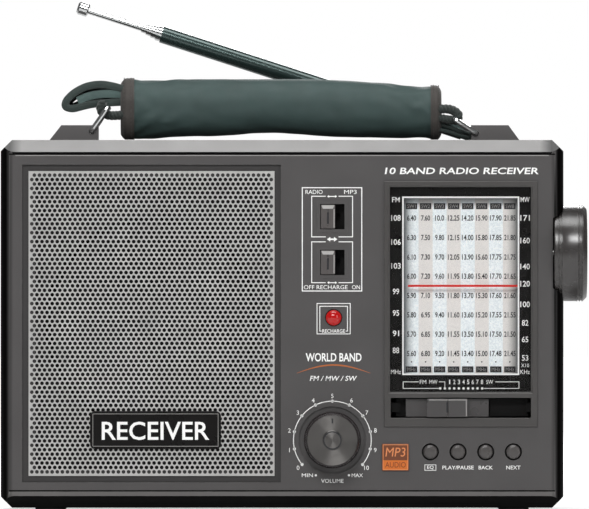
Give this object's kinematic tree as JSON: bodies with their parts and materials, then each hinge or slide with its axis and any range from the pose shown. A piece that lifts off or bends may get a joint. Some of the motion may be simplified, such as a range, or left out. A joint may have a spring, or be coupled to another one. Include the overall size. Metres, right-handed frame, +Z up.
{
  "type": "portable shortwave receiver",
  "caption": "Portable multiband receiver: grey case, perforated speaker grille, tall dial with red pointer, side tuning knob, volume knob, buttons, padded handle on ropes, telescopic antenna.",
  "frame": {"origin": "middle of the footprint of the whole object, on the surface that its feet stand on", "axes": "+X to the right seen from the front, -Y out of the front face, +Z up"},
  "size_m": [0.2738, 0.0996, 0.239],
  "materials": {
    "case_plastic": "fine spark-eroded moulding, dark warm grey",
    "trim_plastic": "black, smooth",
    "black_plastic": "black",
    "rubber_black": "matt",
    "screw_steel": "zinc plated",
    "grille_metal": "perforated, silver grey",
    "badge_black": "black plate with a light inner line",
    "fibreboard": "black hardboard",
    "pressed_steel": "pressed sheet",
    "cone_paper": "doped paper pulp",
    "magnet_ferrite": "ferrite and steel",
    "lens_glass": "clear polished window",
    "scale_card": "printed white scale",
    "chassis_steel": "zinc plated",
    "pointer_red": "glowing red",
    "knob_plastic": "dark, smooth, turned grooves",
    "shaft_steel": "bright",
    "bush_brass": "turned",
    "cord_nylon": "waxed cord",
    "pulley_nylon": "natural nylon",
    "capacitor_can": "satin",
    "slider_plastic": "dark grey",
    "switch_black": "black",
    "led_red": "red lens",
    "badge_orange": "orange tile",
    "knob_disc": "spun, dark nickel",
    "button_plastic": "dark grey",
    "board_green": "solder mask",
    "ferrite_black": "ferrite",
    "core_steel": "laminations",
    "cell_jacket": "printed jacket",
    "contact_nickel": "nickel plated",
    "antenna_dark": "dark green-grey gloss",
    "antenna_chrome": "bright",
    "link_chrome": "bright wire",
    "rope_green": "woven webbing and rope, dark green",
    "sleeve_green": "padded coated cloth, dark green",
    "trim_brown": "bound edge, grey brown"
  },
  "bodies": {
    "root": {"front_cabinet": "case_plastic", "rear_cabinet": "case_plastic", "feet": "rubber_black", "cabinet_screws": "screw_steel", "speaker_grille": "grille_metal", "grille_badge": "badge_black", "speaker_baffle": "fibreboard", "speaker_basket": "pressed_steel", "speaker_cone": "cone_paper", "speaker_magnet": "magnet_ferrite", "dial_frame": "trim_plastic", "dial_lens": "lens_glass", "dial_scale": "scale_card", "dial_chassis": "chassis_steel", "tuning_bush": "bush_brass", "dial_cord": "cord_nylon", "tuning_capacitor": "capacitor_can", "band_switch": "black_plastic", "slide_switches": "black_plastic", "charge_led": "led_red", "mode_badge": "badge_orange", "volume_control": "pressed_steel", "button_board": "board_green", "main_board": "board_green", "ferrite_antenna": "ferrite_black", "media_board": "black_plastic", "power_inlet": "black_plastic", "transformer": "core_steel", "battery_cells": "cell_jacket", "battery_contacts": "contact_nickel", "antenna_base": "black_plastic", "handle_bosses": "case_plastic", "wire_links": "link_chrome", "handle_ropes": "rope_green"},
    "battery_door": {"battery_door": "case_plastic"},
    "pointer": {"dial_pointer": "pointer_red"},
    "tuning": {"tuning_knob": "knob_plastic", "tuning_shaft": "shaft_steel"},
    "upper_pulley": {"upper_pulley": "pulley_nylon"},
    "lower_pulley": {"lower_pulley": "pulley_nylon"},
    "drum": {"cord_drum": "pulley_nylon"},
    "band": {"band_slider": "slider_plastic"},
    "function_switch": {"function_switch_cap": "switch_black"},
    "recharge_switch": {"recharge_switch_cap": "switch_black"},
    "volume": {"volume_knob": "knob_plastic", "volume_knob_disc": "knob_disc"},
    "eq": {"eq_button": "button_plastic"},
    "play": {"play_button": "button_plastic"},
    "back": {"back_button": "button_plastic"},
    "next": {"next_button": "button_plastic"},
    "swivel": {"antenna_swivel": "antenna_dark"},
    "antenna_arm": {"antenna_tube": "antenna_dark"},
    "section_2": {"antenna_section_2": "antenna_chrome"},
    "section_3": {"antenna_section_3": "antenna_chrome"},
    "section_4": {"antenna_section_4": "antenna_chrome"},
    "section_5": {"antenna_section_5": "antenna_chrome"},
    "antenna_rod": {"antenna_rod": "antenna_chrome"},
    "handle": {"handle_sleeve": "sleeve_green", "handle_trims": "trim_brown"}
  },
  "joints": [
    {"name": "battery_door_hinge", "type": "hinge", "parent": "root", "child": "battery_door", "pos_m": [0.0135, 0.0482, 0.0106], "axis": [-1, 0, 0], "range_deg": [0, 95]},
    {"name": "tuning_turn", "type": "hinge", "parent": "root", "child": "tuning", "pos_m": [0.1285, -0.0213, 0.1205], "axis": [1, 0, 0], "range_deg": [-592, 592]},
    {"name": "pointer_slide", "type": "slide", "parent": "root", "child": "pointer", "axis": [0, 0, 1], "range_m": [-0.031, 0.031]},
    {"name": "upper_pulley_turn", "type": "hinge", "parent": "root", "child": "upper_pulley", "pos_m": [0.1125, -0.0272, 0.15], "axis": [1, 0, 0], "range_deg": [-592, 592]},
    {"name": "lower_pulley_turn", "type": "hinge", "parent": "root", "child": "lower_pulley", "pos_m": [0.1125, -0.0272, 0.066], "axis": [1, 0, 0], "range_deg": [-592, 592]},
    {"name": "drum_turn", "type": "hinge", "parent": "root", "child": "drum", "pos_m": [0.1125, 0.0138, 0.112], "axis": [1, 0, 0], "range_deg": [-90.2, 90.2]},
    {"name": "band_slide", "type": "slide", "parent": "root", "child": "band", "axis": [1, 0, 0], "range_m": [-0.00213, 0.01704]},
    {"name": "function_slide", "type": "slide", "parent": "root", "child": "function_switch", "axis": [1, 0, 0], "range_m": [0, 0.004]},
    {"name": "recharge_slide", "type": "slide", "parent": "root", "child": "recharge_switch", "axis": [1, 0, 0], "range_m": [0, 0.004]},
    {"name": "volume_turn", "type": "hinge", "parent": "root", "child": "volume", "pos_m": [0.0179, -0.0442, 0.0336], "axis": [0, 1, 0], "range_deg": [-150, 150]},
    {"name": "eq_press", "type": "slide", "parent": "root", "child": "eq", "axis": [0, 1, 0], "range_m": [0, 0.0008], "stiffness_N_per_m": 400},
    {"name": "play_press", "type": "slide", "parent": "root", "child": "play", "axis": [0, 1, 0], "range_m": [0, 0.0008], "stiffness_N_per_m": 400},
    {"name": "back_press", "type": "slide", "parent": "root", "child": "back", "axis": [0, 1, 0], "range_m": [0, 0.0008], "stiffness_N_per_m": 400},
    {"name": "next_press", "type": "slide", "parent": "root", "child": "next", "axis": [0, 1, 0], "range_m": [0, 0.0008], "stiffness_N_per_m": 400},
    {"name": "antenna_turn", "type": "hinge", "parent": "root", "child": "swivel", "pos_m": [0.0866, 0.0378, 0.1755], "axis": [0, 0, 1], "range_deg": [-180, 0]},
    {"name": "antenna_tilt", "type": "hinge", "parent": "swivel", "child": "antenna_arm", "pos_m": [0.0866, 0.0378, 0.1755], "axis": [0, 1, 0], "range_deg": [-17.9, 72.1]},
    {"name": "section_2_slide", "type": "slide", "parent": "antenna_arm", "child": "section_2", "axis": [-0.9516, 0, 0.3074], "range_m": [0, 0.125]},
    {"name": "section_3_slide", "type": "slide", "parent": "section_2", "child": "section_3", "axis": [-0.9516, 0, 0.3074], "range_m": [0, 0.125]},
    {"name": "section_4_slide", "type": "slide", "parent": "section_3", "child": "section_4", "axis": [-0.9516, 0, 0.3074], "range_m": [0, 0.125]},
    {"name": "section_5_slide", "type": "slide", "parent": "section_4", "child": "section_5", "axis": [-0.9516, 0, 0.3074], "range_m": [0, 0.125]},
    {"name": "rod_slide", "type": "slide", "parent": "section_5", "child": "antenna_rod", "axis": [-0.9516, 0, 0.3074], "range_m": [-0.026, 0.1]},
    {"name": "handle_lift", "type": "slide", "parent": "root", "child": "handle", "axis": [0, 0, 1], "range_m": [0, 0.018], "deforming": ["handle_ropes"]}
  ],
  "couplings": [
    {"joint": "pointer_slide", "follows": "tuning_turn", "m_per_rad": 0.003},
    {"joint": "upper_pulley_turn", "follows": "tuning_turn", "ratio": -1},
    {"joint": "lower_pulley_turn", "follows": "tuning_turn", "ratio": -1},
    {"joint": "drum_turn", "follows": "tuning_turn", "ratio": -0.15228}
  ]
}
